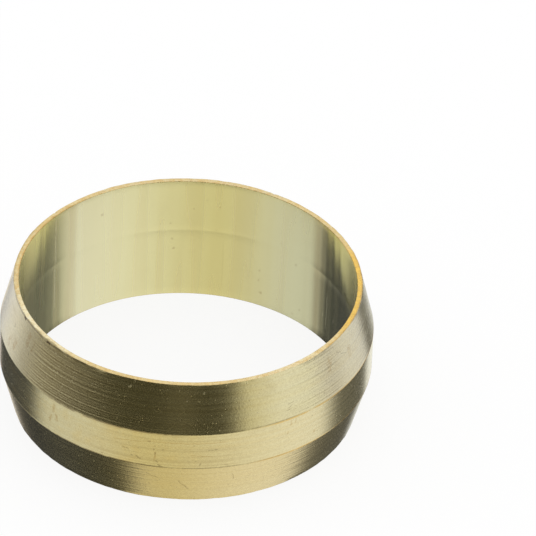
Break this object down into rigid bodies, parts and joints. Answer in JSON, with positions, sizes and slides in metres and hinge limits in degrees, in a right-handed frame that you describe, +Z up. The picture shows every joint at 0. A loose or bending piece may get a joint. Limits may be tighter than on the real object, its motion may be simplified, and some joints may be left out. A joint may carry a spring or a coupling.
{
  "type": "compression olive",
  "caption": "Brass sealing ring with a plain bore, a flat outer land and a taper on either side, squeezed onto a tube by the nut of a compression pipe fitting.",
  "frame": {"origin": "centre of the lower end face, on the bore's axis, where the ring stands", "axes": "+Z up the bore from the lower end face to the upper one; X and Y are alike, because the ring is round"},
  "size_m": [0.0246, 0.0246, 0.0093],
  "materials": {
    "brass": "turned and drawn brass, satin, with fine tool marks"
  },
  "bodies": {
    "root": {"olive": "brass"}
  },
  "joints": []
}
